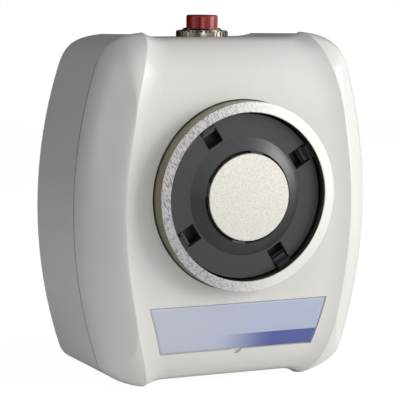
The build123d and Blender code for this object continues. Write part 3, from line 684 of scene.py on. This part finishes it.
class HOLDER_OT_button(bpy.types.Operator):
    """Finish the release button, its collar, nut and switch"""

    bl_idname = "holder.button"
    bl_label = "Button"

    def execute(self, context):
        settings = context.scene.holder_button
        dress(moulded_red_abs(settings), "red_cap", "button_cap")
        dress(plated_metal("nickel_plated_brass", "#6E6963", "#807B74", 0.27, 4), "bushing_nickel",
              "button_bushing")
        dress(plated_metal("bright_nickel", "#8C857A", "#9E978B", 0.25, 3), "nut_nickel", "button_nut")
        spring_steel = plated_metal("spring_steel", "#8F8F8E", "#A8A8A6", 0.28, 2)
        pressed_spring(settings.stroke, spring_steel)
        dress(plated_metal("zinc_washer_steel", "#A7A9A8", "#BDBFBD", 0.3, 3), "zinc_steel", "lock_washer")
        dress(plain_plastic("black_phenolic", "#1A1918", "#242322", 0.4, 0.6), "switch_plastic",
              "switch_body", "button_stem")
        dress(plated_metal("rolled_brass", "#B08D4A", "#C7A45E", 0.25, 2), "contact_brass",
              "switch_blades", "contact_bridge")
        return {"FINISHED"}


class HOLDER_OT_inside(bpy.types.Operator):
    """Finish the strap, the screws, the board, the leads and the grommet"""

    bl_idname = "holder.inside"
    bl_label = "Inside"

    def execute(self, context):
        dress(plated_metal("bright_zinc_steel", "#A9ACAE", "#C2C4C4", 0.3, 5), "zinc_steel",
              "mounting_strap", "strap_screws", "board_screws", "cover_screws", "core_bolt",
              "core_washer", "terminal_screws")
        dress(plain_plastic("epoxy_glass_laminate", "#1F5B3C", "#2A6D49", 0.35, 0.7), "board_laminate",
              "circuit_board")
        dress(plain_plastic("green_polyamide", "#2E7A52", "#358A5E", 0.4, 0.8), "block_plastic",
              "terminal_block")
        dress(plain_plastic("black_epoxy", "#141414", "#1D1D1D", 0.3, 0.5), "diode_epoxy",
              "suppressor_diode")
        dress(plain_plastic("black_rubber", "#17171A", "#212124", 0.6, 0.4), "grommet_rubber",
              "cable_grommet")
        dress(plain_plastic("black_pvc", "#151515", "#202020", 0.35, 0.6), "wire_black", "coil_lead_left")
        dress(plain_plastic("red_pvc", "#8E1A18", "#9E2320", 0.35, 0.6), "wire_red", "coil_lead_right")
        dress(plain_plastic("grey_pvc", "#77797B", "#85878A", 0.35, 0.6), "wire_grey",
              "switch_lead_left", "switch_lead_right")
        return {"FINISHED"}


# Studio
def stage_plane(name, centre, normal, width, height, material):
    """Flat stage piece that faces along normal."""
    mesh = bpy.data.meshes.new(name)
    corners = [(-width / 2, -height / 2, 0), (width / 2, -height / 2, 0), (width / 2, height / 2, 0),
               (-width / 2, height / 2, 0)]
    mesh.from_pydata(corners, [], [(0, 1, 2, 3)])
    mesh.materials.append(material)
    piece = bpy.data.objects.new(name, mesh)
    turn = Vector(normal).to_track_quat("Z", "Y").to_matrix().to_4x4()
    piece.matrix_world = Matrix.Translation(centre) @ turn
    bpy.context.scene.collection.objects.link(piece)
    return piece


def white_background(settings):
    """World that shows white to the eye and in reflections, and lights the rest plainly."""
    world = bpy.data.worlds.new("studio")
    world.use_nodes = True
    tree = world.node_tree
    tree.nodes.clear()
    path = add_node(tree, "ShaderNodeLightPath")
    reflected = add_node(tree, "ShaderNodeMath", {
        0: path.outputs["Is Camera Ray"], 1: path.outputs["Is Glossy Ray"],
    }, operation="MAXIMUM")
    seen = add_node(tree, "ShaderNodeMath", {
        0: reflected.outputs[0], 1: path.outputs["Is Transmission Ray"],
    }, operation="MAXIMUM")
    lit = add_node(tree, "ShaderNodeBackground", {"Color": linear("#FFFFFF"), "Strength": settings.ambient})
    shown = add_node(tree, "ShaderNodeBackground", {"Color": linear("#FFFFFF"), "Strength": 1.0})
    mixed = add_node(tree, "ShaderNodeMixShader", {
        0: seen.outputs[0], 1: lit.outputs[0], 2: shown.outputs[0],
    })
    add_node(tree, "ShaderNodeOutputWorld", {"Surface": mixed.outputs[0]})
    bpy.context.scene.world = world


def pale_floor(settings):
    """Matt white floor that mostly shows as white and keeps a faint shadow."""
    made, tree, place = new_material("matt_white_floor")
    grain = add_node(tree, "ShaderNodeTexNoise", {"Vector": place, "Scale": scale_for(4), "Detail": 2.0})
    colour = two_tone(tree, grain.outputs["Fac"], linear("#F2F1EF"), linear("#F6F5F3"))
    matt = add_node(tree, "ShaderNodeBsdfDiffuse", {"Color": colour})
    glow = add_node(tree, "ShaderNodeEmission", {
        "Color": linear("#FFFFFF"), "Strength": settings.floor_glow,
    })
    path = add_node(tree, "ShaderNodeLightPath")
    share = add_node(tree, "ShaderNodeMath", {0: path.outputs["Is Camera Ray"], 1: settings.glow_share},
                     operation="MULTIPLY")
    mixed = add_node(tree, "ShaderNodeMixShader", {
        0: share.outputs[0], 1: matt.outputs[0], 2: glow.outputs[0],
    })
    finish_material(tree, mixed)
    low = cad_bounds[0]
    stage_plane("floor", (0, 0, low.z - settings.floor_drop * MM), (0, 0, 1), 6.0, 6.0, made)


def dark_card():
    """Black felt card, as studios use to shade one side. It isn't seen by the camera."""
    made, tree, place = new_material("black_felt")
    fuzz = add_node(tree, "ShaderNodeTexNoise", {"Vector": place, "Scale": scale_for(3)})
    colour = two_tone(tree, fuzz.outputs["Fac"], linear("#1A1A1A"), linear("#242424"))
    finish_material(tree, add_node(tree, "ShaderNodeBsdfDiffuse", {"Color": colour}))
    return made


def soft_lamp(name, place, target, size, power, colour):
    """Square area lamp that points at target."""
    data = bpy.data.lights.new(name, "AREA")
    data.shape = "SQUARE"
    data.size = size
    data.energy = power
    data.color = linear(colour)[:3]
    lamp = bpy.data.objects.new(name, data)
    lamp.location = place
    lamp.rotation_mode = "QUATERNION"
    lamp.rotation_quaternion = (Vector(target) - Vector(place)).to_track_quat("-Z", "Y")
    bpy.context.scene.collection.objects.link(lamp)


def camera_turn(yaw, elevation, roll):
    """Camera axes for a view from azimuth -yaw, looking down by elevation, turned by roll."""
    back = Vector((-sin(yaw) * cos(elevation), -cos(yaw) * cos(elevation), sin(elevation)))
    right = (-back).cross(Vector((0, 0, 1))).normalized()
    down = (-back).cross(right)
    turned_right = cos(roll) * right + sin(roll) * down
    turned_down = cos(roll) * down - sin(roll) * right
    return Matrix((turned_right, -turned_down, back)).transposed()


def photo_camera():
    """Long-lens camera, set by the place, the turn and the focal length of the photo's view."""
    place = (-0.21977, -0.50733, 0.07114)
    yaw, elevation, roll = radians(24.2036), radians(7.5672), radians(-0.6528)
    data = bpy.data.cameras.new("camera")
    data.sensor_width = 36.0
    data.lens = 160.08
    data.clip_start = 0.01
    camera = bpy.data.objects.new("camera", data)
    camera.matrix_world = Matrix.Translation(place) @ camera_turn(yaw, elevation, roll).to_4x4()
    bpy.context.scene.collection.objects.link(camera)
    bpy.context.scene.camera = camera


class HOLDER_OT_stage(bpy.types.Operator):
    """Set up the floor, the cards, the lamps and the camera"""

    bl_idname = "holder.stage"
    bl_label = "Stage"

    def execute(self, context):
        settings = context.scene.holder_stage
        white_background(settings)
        pale_floor(settings)
        felt = dark_card()
        for name, centre, normal, width, height in (
            ("card_left", (-0.45, 0.75, 0.2), (1, 0, 0), 1.3, 0.9),
            ("card_front", (-1.05, -0.95, 0.2), (0.74, 0.67, 0), 1.7, 0.5),
            ("card_back", (0.1, 0.6, 0.25), (0, -1, 0), 1.3, 0.9),
            ("card_top", (-0.1, 0.1, 0.7), (0, 0, -1), 0.8, 0.8),
            ("card_low", (-0.6, -0.3, cad_bounds[0].z + 0.5 * MM), (0, 0, 1), 0.9, 1.2),
        ):
            card = stage_plane(name, centre, normal, width, height, felt)
            card.visible_camera = False
        for name, place, size, power, colour in (
            ("key", (0.8, -0.54, 0.24), 0.58, settings.key_power, "#FFFFFD"),
            ("fill", (-1.0, -0.25, 0.15), 0.8, settings.fill_power, "#FDFDFF"),
            ("low_fill", (-0.3, -0.95, 0.0), 0.3, settings.low_power, "#FFFFFF"),
        ):
            soft_lamp(name, place, (0, -0.03, 0), size, power, colour)
        photo_camera()
        context.scene.view_settings.view_transform = "Standard"
        return {"FINISHED"}


class HOLDER_PT_panel(bpy.types.Panel):
    """Sidebar panel with the sizes, the colours and the steps"""

    bl_idname = "HOLDER_PT_panel"
    bl_label = "Door Holder"
    bl_space_type = "VIEW_3D"
    bl_region_type = "UI"
    bl_category = "Door Holder"

    def draw(self, context):
        for operator, group in STEPS:
            box = self.layout.box()
            if group:
                settings = getattr(context.scene, group)
                for name in settings.bl_rna.properties.keys():
                    if name not in ("rna_type", "name"):
                        box.prop(settings, name)
            box.operator(operator.bl_idname)


GROUPS = {
    "holder_housing": HousingSettings,
    "holder_label": LabelSettings,
    "holder_magnet": MagnetSettings,
    "holder_bobbin": BobbinSettings,
    "holder_button": ButtonSettings,
    "holder_stage": StageSettings,
}
STEPS = (
    (HOLDER_OT_housing, "holder_housing"),
    (HOLDER_OT_label, "holder_label"),
    (HOLDER_OT_magnet, "holder_magnet"),
    (HOLDER_OT_bobbin, "holder_bobbin"),
    (HOLDER_OT_button, "holder_button"),
    (HOLDER_OT_inside, None),
    (HOLDER_OT_stage, "holder_stage"),
)


def register():
    """Register the settings, the steps and the panel."""
    for name, group in GROUPS.items():
        bpy.utils.register_class(group)
        setattr(bpy.types.Scene, name, PointerProperty(type=group))
    for operator, _ in STEPS:
        bpy.utils.register_class(operator)
    bpy.utils.register_class(HOLDER_PT_panel)


def unregister():
    """Take everything out again, in reverse."""
    bpy.utils.unregister_class(HOLDER_PT_panel)
    for operator, _ in reversed(STEPS):
        bpy.utils.unregister_class(operator)
    for name, group in reversed(GROUPS.items()):
        delattr(bpy.types.Scene, name)
        bpy.utils.unregister_class(group)


def main():
    """Run every step in order."""
    register()
    for operator, _ in STEPS:
        module, call = operator.bl_idname.split(".")
        getattr(getattr(bpy.ops, module), call)()
    bpy.context.view_layer.update()


if __name__ == "__main__":
    main()
